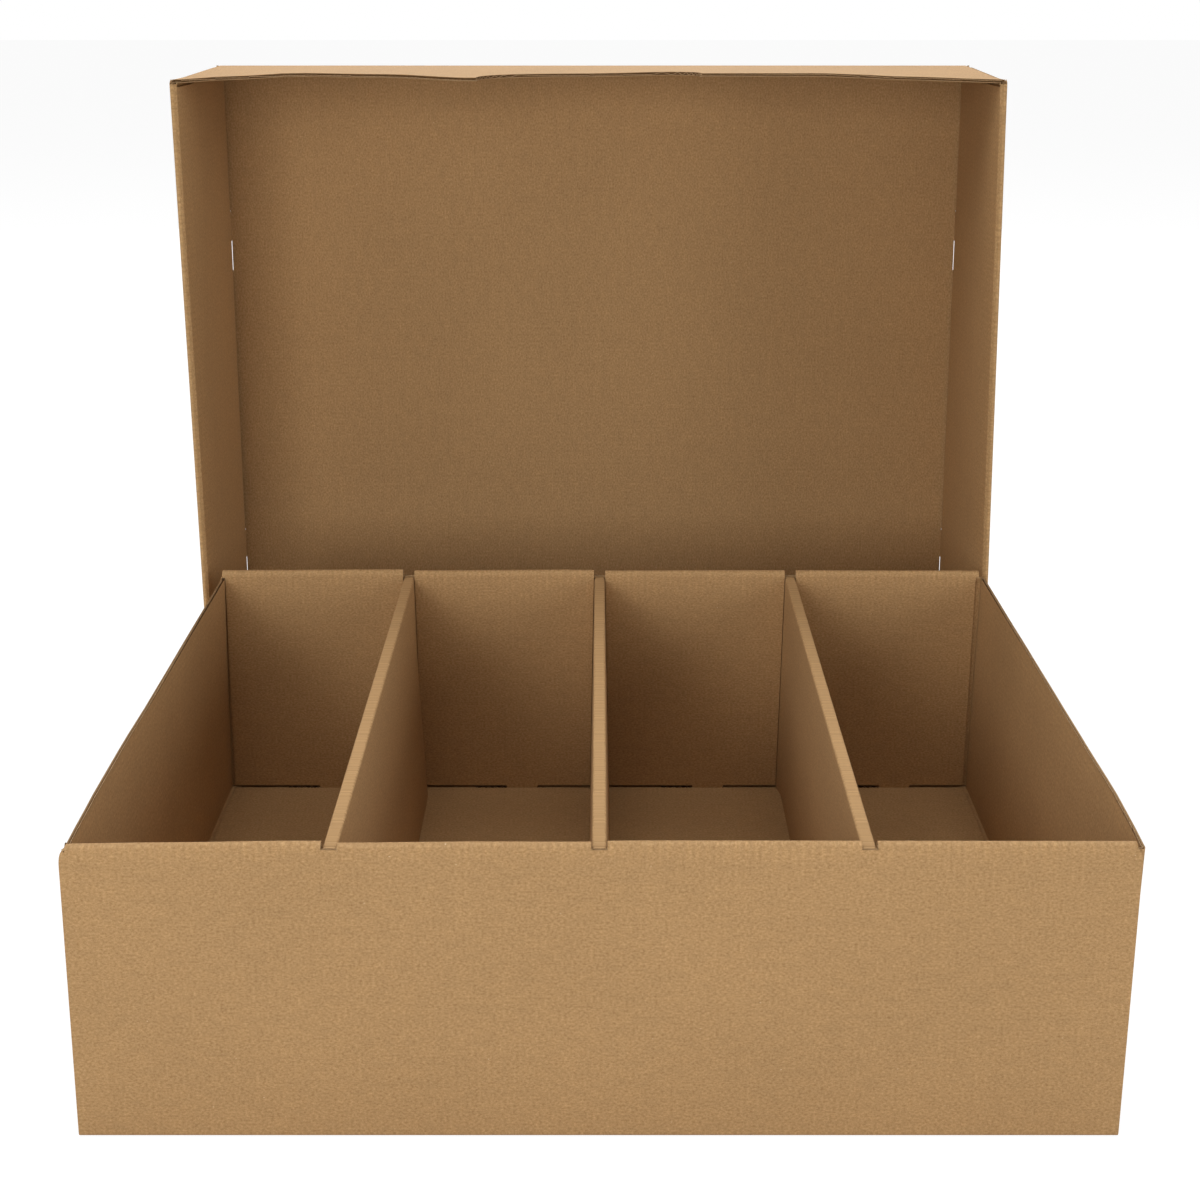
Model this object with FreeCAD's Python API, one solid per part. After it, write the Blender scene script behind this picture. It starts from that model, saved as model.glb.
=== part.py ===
import FreeCAD, Part
import math
import os

from FreeCAD import Placement, Rotation, Vector

# Shipping box for four bottles that lie side by side: an open tray, three folded dividers and a
# lift-off lid, all of thin brown corrugated board. Millimetres, +Z up, X across the bottles,
# Y along them. The origin is the centre of the tray's underside. The lid stands on one of its
# long walls right behind the tray, with its open side to the front.

# the board and its folds
board = 1.6
fold_radius = 0.4
ply_gap = 0.15

# the tray
tray_width = 360.0
tray_length = 330.0
tray_height = 109.5
rim_drop = 2.6
roll_inset = 2.0
roll_corner_radius = 10.0

# the corner flaps hidden in the double walls
flap_length = 70.0
flap_floor_gap = 0.7

# the inner panels of the double walls, with their locking tabs
panel_floor_gap = 1.2
panel_side_gap = 1.8
tray_tab_count = 1
lid_tab_count = 2
tab_width = 30.0
tab_slant = 1.0
tab_recess = 0.3
tab_play = 0.3

# the dividers; a compartment is measured from the middle of one to the middle of the next
compartment_width = 90.0
divider_thickness = 4.8
divider_splay = 2.0
divider_drop = 2.5
divider_floor_gap = 0.2
divider_end_gap = 0.4
notch_play = 0.3
notch_floor_play = 0.3

# the lid
lid_play = 1.6
lid_headroom = 1.0
lid_shift = -3.3
lid_stand_off = 0.3
thumb_width = 100.0
thumb_depth = 28.0
thumb_corner_radius = 24.0

# what follows from those sizes
outer_radius = fold_radius + board
double_wall = 3.0 * board + 2.0 * ply_gap
flap_face = board + ply_gap
corner_start = flap_face + outer_radius
panel_face = double_wall - board
notch_width = divider_thickness + 2.0 * notch_play
notch_floor_drop = divider_drop - notch_floor_play

lid_length = tray_width + 2.0 * (lid_play + double_wall)
lid_width = tray_length + 2.0 * (lid_play + board)
lid_depth = tray_height + board + lid_headroom
divider_places = {
    "divider_left": -compartment_width,
    "divider_middle": 0.0,
    "divider_right": compartment_width,
}

# how far a cutting shape reaches past what it cuts
over = 1.0


def run(length):
    return ("run", length)


def fold(degrees):
    return ("fold", degrees)


def folded_section(start, heading, steps):
    """Return the face of a folded sheet seen end-on, in the XY plane.

    The sheet sets off from start at heading degrees. start is on its left side, which is the
    inside of every fold, because all the folds turn left.
    """
    inside = []
    outside = []
    point = start
    angle = math.radians(heading)
    for kind, amount in steps:
        along = Vector(math.cos(angle), math.sin(angle), 0.0)
        left = Vector(-along.y, along.x, 0.0)
        if kind == "run":
            goal = point + along * amount
            inside.append(Part.makeLine(point, goal))
            outside.append(Part.makeLine(point - left * board, goal - left * board))
            point = goal
            continue
        centre = point + left * fold_radius
        turn = math.radians(amount)
        halfway = Vector(math.sin(angle + turn / 2.0), -math.cos(angle + turn / 2.0), 0.0)
        finish = Vector(math.sin(angle + turn), -math.cos(angle + turn), 0.0)
        for side, radius in ((inside, fold_radius), (outside, outer_radius)):
            ends = (centre - left * radius, centre + halfway * radius, centre + finish * radius)
            side.append(Part.Arc(*ends).toShape())
        point = centre + finish * fold_radius
        angle += turn
    last_left = Vector(-math.sin(angle), math.cos(angle), 0.0)
    first_left = Vector(-math.sin(math.radians(heading)), math.cos(math.radians(heading)), 0.0)
    caps = [
        Part.makeLine(point, point - last_left * board),
        Part.makeLine(start, start - first_left * board),
    ]
    return Part.Face(Part.Wire(Part.__sortEdges__(inside + outside + caps)))


def outline(corners):
    """Return the flat face with these corners."""
    points = [Vector(a, b, 0.0) for a, b in corners]
    return Part.Face(Part.makePolygon(points + points[:1]))


def spread_along_x(face, start, end):
    """Extrude a face drawn in (y, z) from x = start to x = end."""
    solid = face.extrude(Vector(0.0, 0.0, end - start))
    solid.Placement = Placement(Vector(start, 0.0, 0.0), Rotation(Vector(1.0, 1.0, 1.0), 120.0))
    return solid


def spread_along_y(face, start, end):
    """Extrude a face drawn in (x, z) from y = start to y = end."""
    solid = face.extrude(Vector(0.0, 0.0, end - start))
    solid.Placement = Placement(Vector(0.0, end, 0.0), Rotation(Vector(1.0, 0.0, 0.0), 90.0))
    return solid


def spread_along_z(face, start, end):
    """Extrude a face drawn in (x, y) from z = start to z = end."""
    solid = face.extrude(Vector(0.0, 0.0, end - start))
    solid.translate(Vector(0.0, 0.0, start))
    return solid


def block(low, high):
    """Return the box between two corners."""
    size = high - low
    return Part.makeBox(size.x, size.y, size.z, low)


def mirrored(shapes, normal):
    """Return the shapes and their mirror images in the plane through the origin."""
    return shapes + [shape.mirror(Vector(0.0, 0.0, 0.0), normal) for shape in shapes]


def rolled_walls_and_floor(width, length, depth):
    """One run of board: inner panel's top, roll, outer panel, floor, outer panel, roll."""
    top_flat = double_wall - 2.0 * outer_radius
    wall_run = depth - 2.0 * outer_radius
    floor_run = length - 2.0 * outer_radius
    steps = [fold(90.0), run(top_flat), fold(90.0), run(wall_run), fold(90.0), run(floor_run)]
    steps += [fold(90.0), run(wall_run), fold(90.0), run(top_flat), fold(90.0)]
    start = Vector(panel_face - length / 2.0, depth - outer_radius, 0.0)
    sheet = spread_along_x(folded_section(start, 90.0, steps), -width / 2.0, width / 2.0)
    return sheet.cut(Part.Compound(mirrored([floor_end(width, length), roll_end(width, length, depth)],
                                            Vector(1.0, 0.0, 0.0))))


def floor_end(width, length):
    """The strip of floor that the end wall's fold takes the place of."""
    half_gap = length / 2.0 - outer_radius
    low = Vector(width / 2.0 - outer_radius, -half_gap, -over)
    return block(low, Vector(width / 2.0 + over, half_gap, outer_radius + over))


def roll_end(width, length, depth):
    """What is cut off beside the roll, with the round shoulder of the outer panel below it."""
    shoulder = roll_corner_radius - roll_inset
    rise = math.sqrt(roll_corner_radius ** 2 - shoulder ** 2)
    side = width / 2.0
    roll_side = side - roll_inset
    shoulder_top = depth - outer_radius
    centre = Vector(side - roll_corner_radius, shoulder_top - rise, 0.0)
    half_turn = math.atan2(rise, shoulder) / 2.0
    middle = centre + Vector(math.cos(half_turn), math.sin(half_turn), 0.0) * roll_corner_radius
    low = Vector(side, shoulder_top - rise, 0.0)
    high = Vector(roll_side, shoulder_top, 0.0)
    edges = [Part.Arc(low, middle, high).toShape()]
    rest = [high, Vector(roll_side, depth + over, 0.0), Vector(side + over, depth + over, 0.0)]
    rest += [Vector(side + over, low.y, 0.0), low]
    edges += [Part.makeLine(first, second) for first, second in zip(rest, rest[1:])]
    face = Part.Face(Part.Wire(Part.__sortEdges__(edges)))
    return spread_along_y(face, -length / 2.0 - over, length / 2.0 + over)


def single_wall(width, length, depth):
    """The end wall at +X, folded up from the floor, with its raw rim below the rolls."""
    wall_run = depth - rim_drop - outer_radius
    start = Vector(width / 2.0 - outer_radius, board, 0.0)
    face = folded_section(start, 0.0, [fold(90.0), run(wall_run)])
    half_run = length / 2.0 - corner_start
    return spread_along_y(face, -half_run, half_run)


def corner_flap(width, length, depth):
    """The flap folded off the end wall at +X, +Y, inside the double wall."""
    start = Vector(width / 2.0 - board, length / 2.0 - corner_start, 0.0)
    face = folded_section(start, 90.0, [fold(90.0), run(flap_length - outer_radius)])
    return spread_along_z(face, board + flap_floor_gap, depth - rim_drop)


def panel_edges(width, notches):
    """For each inner panel, the x of its left edge at (top, bottom) and of its right edge."""
    side = width / 2.0 - board - panel_side_gap
    top = notch_width / 2.0
    bottom = top + divider_splay
    lefts = [(-side, -side)] + [(place + top, place + bottom) for place in notches]
    rights = [(place - top, place - bottom) for place in notches] + [(side, side)]
    return list(zip(lefts, rights))


def tab_centres(left, right, tabs):
    """The tabs' places, spaced evenly along a panel's bottom edge."""
    share = (right - left) / tabs
    return [left + share * (number + 0.5) for number in range(tabs)]


def inner_panel(left, right, length, depth, tabs):
    """One inner panel of the wall at -Y, from the roll down to its tabs in the floor."""
    top = depth - outer_radius
    bottom = board + panel_floor_gap
    half = tab_width / 2.0
    corners = [(left[0], top), (left[1], bottom)]
    for centre in tab_centres(left[1], right[1], tabs):
        corners += [(centre - half, bottom), (centre - half + tab_slant, tab_recess)]
        corners += [(centre + half - tab_slant, tab_recess), (centre + half, bottom)]
    corners += [(right[1], bottom), (right[0], top)]
    face_y = panel_face - length / 2.0
    return spread_along_y(outline(corners), face_y, face_y + board)


def floor_slots(left, right, length, tabs):
    """The slots in the floor for the tabs of one panel of the wall at -Y."""
    half = tab_width / 2.0 + tab_play
    near = panel_face - tab_play - length / 2.0
    far = near + board + 2.0 * tab_play
    slots = []
    for centre in tab_centres(left[1], right[1], tabs):
        slots.append(block(Vector(centre - half, near, -over), Vector(centre + half, far, board + over)))
    return slots


def notch(place, length, depth):
    """A divider's notch through both rolls, down to a straight edge in the outer panels."""
    half = notch_width / 2.0
    reach = length / 2.0 + over
    low = Vector(place - half, -reach, depth - notch_floor_drop)
    return block(low, Vector(place + half, reach, depth + over))


def folded_tray(width, length, depth, notches, tabs):
    """A tray folded from one sheet, with rolled walls at -Y and +Y and single walls at -X, +X."""
    panels = []
    cuts = [notch(place, length, depth) for place in notches]
    slots = []
    for left, right in panel_edges(width, notches):
        panels.append(inner_panel(left, right, length, depth, tabs))
        slots += floor_slots(left, right, length, tabs)
    cuts += mirrored(slots, Vector(0.0, 1.0, 0.0))
    sheet = rolled_walls_and_floor(width, length, depth).cut(Part.Compound(cuts))
    flaps = mirrored([corner_flap(width, length, depth)], Vector(0.0, 1.0, 0.0))
    sides = mirrored([single_wall(width, length, depth)] + flaps, Vector(1.0, 0.0, 0.0))
    return sheet.multiFuse(mirrored(panels, Vector(0.0, 1.0, 0.0)) + sides).removeSplitter()


def thumb_notch(width, depth):
    """The finger cut-out in the single wall at +X: straight lips, round corners, a flat bottom."""
    half = thumb_width / 2.0
    rim = depth - rim_drop
    bend = thumb_corner_radius
    low = rim - thumb_depth
    diagonal = bend * math.sqrt(0.5)
    edges = []
    for side in (-1.0, 1.0):
        centre = Vector(side * (half - bend), low + bend, 0.0)
        start = Vector(side * half, low + bend, 0.0)
        middle = centre + Vector(side * diagonal, -diagonal, 0.0)
        end = Vector(side * (half - bend), low, 0.0)
        edges.append(Part.Arc(start, middle, end).toShape())
        edges.append(Part.makeLine(start, Vector(side * half, rim + over, 0.0)))
    edges.append(Part.makeLine(Vector(bend - half, low, 0.0), Vector(half - bend, low, 0.0)))
    edges.append(Part.makeLine(Vector(-half, rim + over, 0.0), Vector(half, rim + over, 0.0)))
    face = Part.Face(Part.Wire(Part.__sortEdges__(edges)))
    return spread_along_x(face, width / 2.0 - board - over, width / 2.0 + over)


def make_lid():
    """The lid, folded lying open side up, then stood on its wall at -X behind the tray."""
    sheet = folded_tray(lid_width, lid_length, lid_depth, [], lid_tab_count)
    lid = sheet.cut(thumb_notch(lid_width, lid_depth))
    stand = Rotation(Vector(1.0, -1.0, 1.0), 120.0)
    back = tray_length / 2.0 + lid_stand_off + lid_depth
    lid.Placement = Placement(Vector(lid_shift, back, lid_width / 2.0), stand).multiply(lid.Placement)
    return lid


def make_divider(place):
    """A strip folded over its top, whose two legs splay a little down to the floor."""
    height = tray_height - divider_drop - board - divider_floor_gap
    leg = height - outer_radius
    lean = math.degrees(math.asin(divider_splay / leg))
    top_flat = divider_thickness - 2.0 * outer_radius
    steps = [run(leg), fold(90.0 - lean), run(top_flat), fold(90.0 - lean), run(leg)]
    face = folded_section(Vector(0.0, 0.0, 0.0), 90.0 + lean, steps)
    half_run = tray_length / 2.0 - board - divider_end_gap
    strip = spread_along_y(face, -half_run, half_run)
    box = strip.BoundBox
    lift = tray_height - divider_drop - box.ZMax
    strip.translate(Vector(place - (box.XMin + box.XMax) / 2.0, 0.0, lift))
    return strip


def make_parts():
    notches = list(divider_places.values())
    parts = {"base_tray": folded_tray(tray_width, tray_length, tray_height, notches, tray_tab_count)}
    for name, place in divider_places.items():
        parts[name] = make_divider(place)
    parts["lid"] = make_lid()
    return parts


os.makedirs("parts", exist_ok=True)
for name, shape in make_parts().items():
    if len(shape.Solids) != 1 or not shape.isValid():
        raise ValueError(name + " isn't one sound solid")
    solid = shape.Solids[0]
    solid.exportStep("parts/" + name + ".step")
    box = solid.BoundBox
    spans = [round(value, 2) for value in (box.XMin, box.XMax, box.YMin, box.YMax, box.ZMin, box.ZMax)]
    print(name, "box", spans, "volume", round(solid.Volume), "faces", len(solid.Faces))
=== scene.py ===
# %% [markdown]
# # A bottle shipping box of brown corrugated board
#
# The real box is three kinds of folded sheet: a tray, three dividers and a lid. Each sheet is one
# flat blank of fine corrugated board, which is two paper liners with a waved sheet, the flute,
# glued between them. The box has no print, so its looks come from four things: round folds, raw
# cut edges where the flute shows, the slow waves of a board that was folded by hand, and the
# fibres of the paper.
#
# Every piece here is modelled the way the box is made. It starts as one flat panel, and the rest
# of the sheet is extruded and spun off its edges, fold after fold. Then the sheet gets its
# thickness, and its raw edges are opened to show the flute.

# %% Load the frame
import bmesh
import bpy
import math
from mathutils import Matrix, Vector


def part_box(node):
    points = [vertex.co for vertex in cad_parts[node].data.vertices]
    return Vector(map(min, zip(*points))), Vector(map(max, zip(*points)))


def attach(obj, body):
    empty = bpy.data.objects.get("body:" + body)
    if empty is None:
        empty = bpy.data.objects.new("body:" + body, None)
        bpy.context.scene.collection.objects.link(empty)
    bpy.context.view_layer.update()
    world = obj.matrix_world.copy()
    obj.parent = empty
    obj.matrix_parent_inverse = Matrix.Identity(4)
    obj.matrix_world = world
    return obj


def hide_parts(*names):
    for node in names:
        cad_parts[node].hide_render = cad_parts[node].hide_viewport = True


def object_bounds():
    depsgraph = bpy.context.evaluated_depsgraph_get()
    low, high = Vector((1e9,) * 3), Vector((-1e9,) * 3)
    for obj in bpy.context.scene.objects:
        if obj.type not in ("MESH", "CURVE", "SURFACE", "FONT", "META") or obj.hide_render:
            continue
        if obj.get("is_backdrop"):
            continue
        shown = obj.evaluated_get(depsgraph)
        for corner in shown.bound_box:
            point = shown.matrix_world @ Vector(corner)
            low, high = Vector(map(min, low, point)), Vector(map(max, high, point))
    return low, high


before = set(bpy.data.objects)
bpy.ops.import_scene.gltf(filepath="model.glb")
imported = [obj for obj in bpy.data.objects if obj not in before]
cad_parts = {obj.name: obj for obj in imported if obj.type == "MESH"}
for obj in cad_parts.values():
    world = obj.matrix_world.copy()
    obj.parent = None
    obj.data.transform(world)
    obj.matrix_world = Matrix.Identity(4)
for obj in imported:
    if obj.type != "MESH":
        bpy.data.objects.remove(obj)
cad_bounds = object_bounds()
print("frame, metres:", [[round(value, 4) for value in corner] for corner in cad_bounds])

# %% [markdown]
# ## Sizes
#
# The outside sizes are read from the frame. They could be typed in again, but then a change of
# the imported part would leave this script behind. What is written here is what one sheet of board
# is like: its thickness, how tight it folds, and how its layers lie in a double wall.

# %% The board
MM = 0.001
BOARD = 1.6 * MM
FOLD = 2.0 * MM
AIR = 0.15 * MM
DOUBLE_WALL = 3.0 * BOARD + 2.0 * AIR
FLAP_FACE = BOARD + AIR
CORNER = FLAP_FACE + FOLD
LINER = 0.3 * MM
PITCH = 3.2 * MM
print("a double wall is", round(DOUBLE_WALL / MM, 2), "mm thick")

# %% The die: what is cut out of the flat sheet, and how far the cuts stay off the folds
ROLL_INSET = 2.0 * MM
SHOULDER = 6.0 * MM
RIM_DROP = 2.6 * MM
FLAP_LENGTH = 70.0 * MM
FLAP_GAP = 0.7 * MM
PANEL_GAP = 1.2 * MM
PANEL_SIDE = BOARD + 1.8 * MM
TAB = 30.0 * MM
TAB_SLANT = 1.0 * MM
TAB_LOW = 0.3 * MM
TAB_PLAY = 0.05 * MM
SPLAY = 2.0 * MM
NOTCH = 5.4 * MM
NOTCH_DROP = 2.2 * MM

# the bead that the scoring wheel leaves in the floor beside a fold: distance in, height
BEAD = (
    (2.5 * MM, 0.0),
    (3.2 * MM, 0.3 * MM),
    (3.9 * MM, 0.42 * MM),
    (4.6 * MM, 0.3 * MM),
    (5.3 * MM, 0.0),
)

# %% The three kinds of sheet, as packed
tray_low, tray_high = (Vector(corner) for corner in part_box("base_tray"))
lid_low, lid_high = (Vector(corner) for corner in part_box("lid"))
tray_size = tray_high - tray_low
lid_size = lid_high - lid_low
DIVIDERS = ("divider_left", "divider_middle", "divider_right")
divider_places = [sum(corner[0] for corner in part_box(name)) / 2.0 for name in DIVIDERS]
print("tray, metres:", [round(value, 4) for value in tray_size])
print("lid, metres:", [round(value, 4) for value in lid_size])

# %% [markdown]
# ## Working in edit mode by place
#
# With no mouse, edges and faces are picked by where they lie. `pick` selects what passes a test
# of place, and the operators then act on it as they would by hand. Counted indices would do the
# same, but they change with every cut, and a place doesn't.

# %% Select by place
NEAR = 0.01 * MM


def near(value, goal):
    """True where two lengths are the same but for rounding."""
    return abs(value - goal) < NEAR


def pick(test, kind="EDGE"):
    """Selects the vertices, edges or faces of the edited mesh whose corners all pass the test."""
    bpy.ops.mesh.select_mode(type=kind)
    bpy.ops.mesh.select_all(action="DESELECT")
    mesh = bmesh.from_edit_mesh(bpy.context.object.data)
    if kind == "VERT":
        for vertex in mesh.verts:
            vertex.select_set(test(vertex.co))
    elif kind == "EDGE":
        for edge in mesh.edges:
            edge.select_set(all(test(vertex.co) for vertex in edge.verts))
    else:
        for face in mesh.faces:
            face.select_set(test(face.calc_center_median()))
    bpy.ops.mesh.select_mode(type=kind)
    bmesh.update_edit_mesh(bpy.context.object.data)

# %% [markdown]
# An extruded edge makes a run of board, and a spun edge makes a fold. A bevel on a sharp corner
# would look alike, but a spin keeps the fold's real radius whatever lies beside it. A cut is a
# plane through the faces, and what was cut free is then deleted.

# %% Run, fold, cut, remove and move
def run(direction, stops):
    """Extrudes the selected edges along a direction, with a row of vertices at each stop."""
    done = 0.0
    for stop in stops:
        step = Vector(direction) * (stop - done)
        bpy.ops.mesh.extrude_region_move(TRANSFORM_OT_translate={"value": step})
        done = stop


def fold(centre, axis, turn=90.0, steps=6):
    """Spins the selected edges round a fold line. With no window it turns the other way."""
    bpy.ops.mesh.spin(steps=steps, angle=-math.radians(turn), center=centre, axis=axis)


def cut(point, normal, everything=True):
    """Cuts the faces of the edited mesh along a plane."""
    if everything:
        bpy.ops.mesh.select_all(action="SELECT")
    bpy.ops.mesh.bisect(plane_co=point, plane_no=normal)


def remove(test):
    """Deletes the faces whose middle passes the test."""
    pick(test, "FACE")
    bpy.ops.mesh.delete(type="FACE")


def move(test, shift):
    """Moves the vertices that pass the test, each by what shift says for its place."""
    mesh = bmesh.from_edit_mesh(bpy.context.object.data)
    for vertex in mesh.verts:
        if test(vertex.co):
            vertex.co += Vector(shift(vertex.co))
    bmesh.update_edit_mesh(bpy.context.object.data)

# %% Rows and columns of vertices
ROW_SPACING = 18.0 * MM
COLUMN_SPACING = 15.0 * MM


def even_stops(length, spacing):
    """Stops along a run, evenly spaced, the last at its end."""
    count = max(1, round(length / spacing))
    return [length * number / count for number in range(1, count + 1)]


def filled(stations, spacing):
    """Sorted places with more added where two lie further apart than the spacing."""
    places = sorted(set(round(place, 7) for place in stations))
    result = [places[0]]
    for place in places[1:]:
        start = result[-1]
        result += [start + stop for stop in even_stops(place - start, spacing)]
    return result

# %% [markdown]
# ## One folded tray
#
# The tray and the lid are the same kind of fold at different sizes, so one function makes both.
# It lies open side up: the rolled double walls at -Y and +Y, the single walls at -X and +X.
# First come the places along X that the die's cuts need, because a column of vertices has to
# stand at each of them before the sheet is folded.

# %% Places along the sheet
def tab_centres(left, right, tabs):
    """The tabs' places along the bottom of one inner panel."""
    share = (right - left) / tabs
    return [left + share * (number + 0.5) for number in range(tabs)]


def panel_spans(width, notches):
    """Left and right end of each inner panel at the roll."""
    side = width / 2.0 - PANEL_SIDE
    lefts = [-side] + [place + NOTCH / 2.0 for place in notches]
    rights = [place - NOTCH / 2.0 for place in notches] + [side]
    return list(zip(lefts, rights))


def bottom_span(span, width):
    """The same panel's ends at its bottom, where it makes room for the splayed dividers."""
    side = width / 2.0 - PANEL_SIDE
    left, right = span
    low_left = left if near(left, -side) else left + SPLAY
    low_right = right if near(right, side) else right - SPLAY
    return low_left, low_right


def all_tabs(width, notches, tabs):
    """Every tab's centre along X."""
    centres = []
    for span in panel_spans(width, notches):
        centres += tab_centres(*bottom_span(span, width), tabs)
    return centres


def columns(width, notches, tabs):
    """Where the sheet needs a column of vertices along X."""
    side = width / 2.0
    places = [side, side - ROLL_INSET, side - PANEL_SIDE]
    places += [-place for place in places]
    for place in notches:
        places += [place - NOTCH / 2.0, place + NOTCH / 2.0]
    for centre in all_tabs(width, notches, tabs):
        for half in (TAB / 2.0, TAB / 2.0 + TAB_PLAY):
            places += [centre - half, centre + half]
    for offset, _ in BEAD:
        places += [side - offset, offset - side]
    return filled(places, COLUMN_SPACING)

# %% [markdown]
# The mesh is the sheet's outside liner. It starts as the inner panel of the front wall, climbs
# over the roll, goes down the outer panel, along the floor and up again on the far side. That is
# the order in which the real sheet is folded, only all from one end.

# %% The sheet's outside liner, from panel to panel
SHOULDER_ROWS = [1.5 * MM, 3.0 * MM, 4.5 * MM, 6.0 * MM]


def strip_of_sheet(name, width, length, depth, notches, tabs):
    """Front inner panel, roll, outer panel, floor, outer panel, roll and back inner panel."""
    half = length / 2.0
    top = depth - FOLD
    low = BOARD + PANEL_GAP
    panel = half - DOUBLE_WALL
    bpy.ops.object.select_all(action="DESELECT")
    place = (0.0, -panel, (top + low) / 2.0)
    bpy.ops.mesh.primitive_plane_add(size=1.0, location=place, rotation=(-math.pi / 2.0, 0.0, 0.0))
    sheet = bpy.context.object
    sheet.name = name
    sheet.scale = (width, top - low, 1.0)
    bpy.ops.object.transform_apply(location=True, rotation=True, scale=True)
    bpy.ops.object.mode_set(mode="EDIT")
    for column in columns(width, notches, tabs)[1:-1]:
        cut((column, 0.0, 0.0), (1.0, 0.0, 0.0))
    rows = even_stops(top - low, ROW_SPACING)
    for row in rows[:-1]:
        cut((0.0, 0.0, low + row), (0.0, 0.0, 1.0))
    pick(lambda co: near(co.z, top))
    wall = depth - 2.0 * FOLD
    down = filled([0.0, NOTCH_DROP - FOLD, wall] + SHOULDER_ROWS, ROW_SPACING)[1:]
    up = [wall - stop for stop in reversed([0.0] + down[:-1])]
    slot = [DOUBLE_WALL - BOARD - TAB_PLAY - FOLD, CORNER - FOLD, DOUBLE_WALL + TAB_PLAY - FOLD]
    floor = length - 2.0 * FOLD
    along = filled([0.0, floor] + slot + [floor - stop for stop in slot], COLUMN_SPACING)[1:]
    flat = [DOUBLE_WALL - 2.0 * FOLD]
    over = (1.0, 0.0, 0.0)
    fold((0.0, -panel - FOLD, top), over)
    run((0.0, -1.0, 0.0), flat)
    fold((0.0, FOLD - half, top), over)
    run((0.0, 0.0, -1.0), down)
    fold((0.0, FOLD - half, FOLD), over)
    run((0.0, 1.0, 0.0), along)
    fold((0.0, half - FOLD, FOLD), over)
    run((0.0, 0.0, 1.0), up)
    fold((0.0, half - FOLD, top), over)
    run((0.0, -1.0, 0.0), flat)
    fold((0.0, panel + FOLD, top), over)
    run((0.0, 0.0, -1.0), rows)
    bpy.ops.mesh.select_all(action="SELECT")
    bpy.ops.mesh.remove_doubles(threshold=NEAR / 2.0)
    return sheet

# %% [markdown]
# The strip is still one plain ribbon. The die's cuts come next, as on the flat blank: the ends of
# the rolls, the notches, the slots for the tabs, and the tabs themselves. The outer panels keep
# their full width, with a round shoulder where the roll stops short.

# %% The die's cuts in the strip
def die_cut(width, length, depth, notches, tabs):
    """Cuts roll ends, notches and slots, and makes the shoulders and tabs."""
    side = width / 2.0
    half = length / 2.0
    top = depth - FOLD
    panel = half - DOUBLE_WALL
    low = BOARD + PANEL_GAP
    centres = all_tabs(width, notches, tabs)

    def on_panel(co):
        return near(abs(co.y), panel) and co.z < top

    remove(lambda co: abs(co.x) > side - ROLL_INSET and co.z > top)
    remove(lambda co: abs(co.x) > side - PANEL_SIDE and on_panel(co))
    remove(lambda co: abs(co.x) > side - ROLL_INSET and abs(co.y) < half - FOLD and co.z < NEAR)
    notch_low = depth - NOTCH_DROP
    for place in notches:
        remove(lambda co: abs(co.x - place) < NOTCH / 2.0 and (co.z > notch_low or on_panel(co)))
    outer = half - DOUBLE_WALL + BOARD + TAB_PLAY
    inner = half - DOUBLE_WALL - TAB_PLAY

    def on_slot(co):
        return near(co.z, 0.0) and inner < abs(co.y) < outer

    reach = TAB / 2.0 + TAB_PLAY
    for centre in centres:
        remove(lambda co: on_slot(co) and abs(co.x - centre) < reach)

    base = top - SHOULDER

    def shoulder(co):
        rise = (co.z - base) / SHOULDER
        inset = ROLL_INSET * (1.0 - math.sqrt(max(0.0, 1.0 - rise * rise)))
        return (-math.copysign(inset, co.x), 0.0, 0.0)

    move(lambda co: near(abs(co.x), side) and base < co.z < top + NEAR, shoulder)
    bpy.ops.mesh.select_all(action="SELECT")
    bpy.ops.mesh.remove_doubles(threshold=NEAR)
    for place in notches:
        for sign in (-1.0, 1.0):
            edge = place + sign * NOTCH / 2.0
            move(
                lambda co: on_panel(co) and near(co.x, edge),
                lambda co: (sign * SPLAY * (top - co.z) / (top - low), 0.0, 0.0),
            )

    def on_panel_foot(co):
        return near(abs(co.y), panel) and near(co.z, low)

    reach = TAB / 2.0 + NEAR
    for centre in centres:
        pick(lambda co: on_panel_foot(co) and abs(co.x - centre) < reach)
        run((0.0, 0.0, -1.0), [low - TAB_LOW])
        for sign in (-1.0, 1.0):
            corner = centre + sign * TAB / 2.0
            move(
                lambda co: near(co.x, corner) and near(co.z, TAB_LOW) and near(abs(co.y), panel),
                lambda co: (-sign * TAB_SLANT, 0.0, 0.0),
            )

# %% [markdown]
# The single walls are spun up from the floor's side edges, and a flap goes off each end of them
# into the double wall. That is what holds the corners of the real box together.

# %% Single walls and their corner flaps
def single_walls(width, length, depth):
    """Spins up the walls at -X and +X, then their four flaps."""
    side = width / 2.0
    half = length / 2.0
    rim = depth - RIM_DROP
    flap_low = BOARD + FLAP_GAP
    wall_end = half - CORNER
    stops = [0.0] + even_stops(rim - flap_low, COLUMN_SPACING)
    stops = [flap_low - FOLD + stop for stop in stops]
    for sign in (-1.0, 1.0):
        edge = sign * (side - ROLL_INSET)
        pick(lambda co: near(co.x, edge) and near(co.z, 0.0) and abs(co.y) < wall_end + NEAR)
        fold((edge, 0.0, FOLD), (0.0, -sign, 0.0))
        run((0.0, 0.0, 1.0), stops)
        for end in (-1.0, 1.0):
            corner = end * wall_end
            above = flap_low - NEAR
            pick(lambda co: near(co.x, sign * side) and near(co.y, corner) and co.z > above)
            fold((edge, corner, 0.0), (0.0, 0.0, sign * end))
            run((-sign, 0.0, 0.0), [FLAP_LENGTH - FOLD])
    bpy.ops.mesh.select_all(action="SELECT")
    bpy.ops.mesh.remove_doubles(threshold=NEAR / 2.0)
    bpy.ops.mesh.normals_make_consistent(inside=False)

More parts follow.
